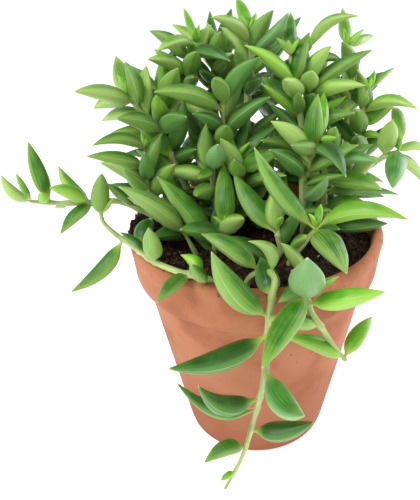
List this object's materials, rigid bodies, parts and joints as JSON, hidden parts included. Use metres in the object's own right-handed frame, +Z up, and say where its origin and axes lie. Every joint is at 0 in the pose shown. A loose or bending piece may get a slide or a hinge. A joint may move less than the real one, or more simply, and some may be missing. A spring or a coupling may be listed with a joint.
{
  "type": "potted string of bananas",
  "caption": "Trailing succulent with plump banana-shaped leaves on thin stems, growing from dark soil in a terracotta pot with a collar; some stems hang over the rim.",
  "frame": {"origin": "bottom centre of the bounding box of pot and plant together, on the surface that the pot stands on", "axes": "+Z up along the pot's axis; -Y is the front, where the longest stem trails over the rim; +X is right as seen from the front"},
  "size_m": [0.1652, 0.155, 0.1829],
  "materials": {
    "terracotta": "matte",
    "potting_soil": "matte",
    "stem": "satin",
    "leaf": "satin"
  },
  "bodies": {
    "root": {"pot": "terracotta", "soil": "potting_soil", "front_trail_stem": "stem", "left_runner_stem": "stem", "right_trail_stem": "stem", "shoot_back_left": "leaf", "shoot_back_middle": "leaf", "shoot_far_left": "leaf", "shoot_far_middle_left": "leaf", "shoot_far_middle_right": "leaf", "shoot_far_right": "leaf", "shoot_front_left": "leaf", "shoot_front_middle": "leaf", "shoot_left_back": "leaf", "shoot_left_high": "leaf", "shoot_left_low": "leaf", "shoot_left_middle": "leaf", "shoot_long_leaf": "leaf", "shoot_middle": "leaf", "shoot_middle_back": "leaf", "shoot_middle_left": "leaf", "shoot_middle_right": "leaf", "shoot_right_back": "leaf", "shoot_right_edge": "leaf", "shoot_right_edge_high": "leaf", "shoot_right_front": "leaf", "shoot_right_high": "leaf", "shoot_right_middle": "leaf", "shoot_rim_left": "leaf", "shoot_rim_right": "leaf", "front_trail_leaf_1": "leaf", "front_trail_leaf_2": "leaf", "front_trail_leaf_3": "leaf", "front_trail_leaf_4": "leaf", "front_trail_leaf_5": "leaf", "front_trail_leaf_6": "leaf", "front_trail_leaf_7": "leaf", "front_trail_leaf_8": "leaf", "front_trail_leaf_9": "leaf", "front_trail_leaf_10": "leaf", "front_trail_leaf_11": "leaf", "left_runner_leaf_1": "leaf", "left_runner_leaf_2": "leaf", "left_runner_leaf_3": "leaf", "left_runner_leaf_4": "leaf", "left_runner_leaf_5": "leaf", "left_runner_leaf_6": "leaf", "left_runner_leaf_7": "leaf", "left_runner_leaf_8": "leaf", "left_runner_leaf_9": "leaf", "right_trail_leaf_1": "leaf", "right_trail_leaf_2": "leaf", "right_trail_leaf_3": "leaf", "right_trail_leaf_4": "leaf", "right_trail_leaf_5": "leaf", "right_trail_leaf_6": "leaf", "right_trail_leaf_7": "leaf", "right_trail_leaf_8": "leaf", "right_trail_leaf_9": "leaf"}
  },
  "joints": []
}
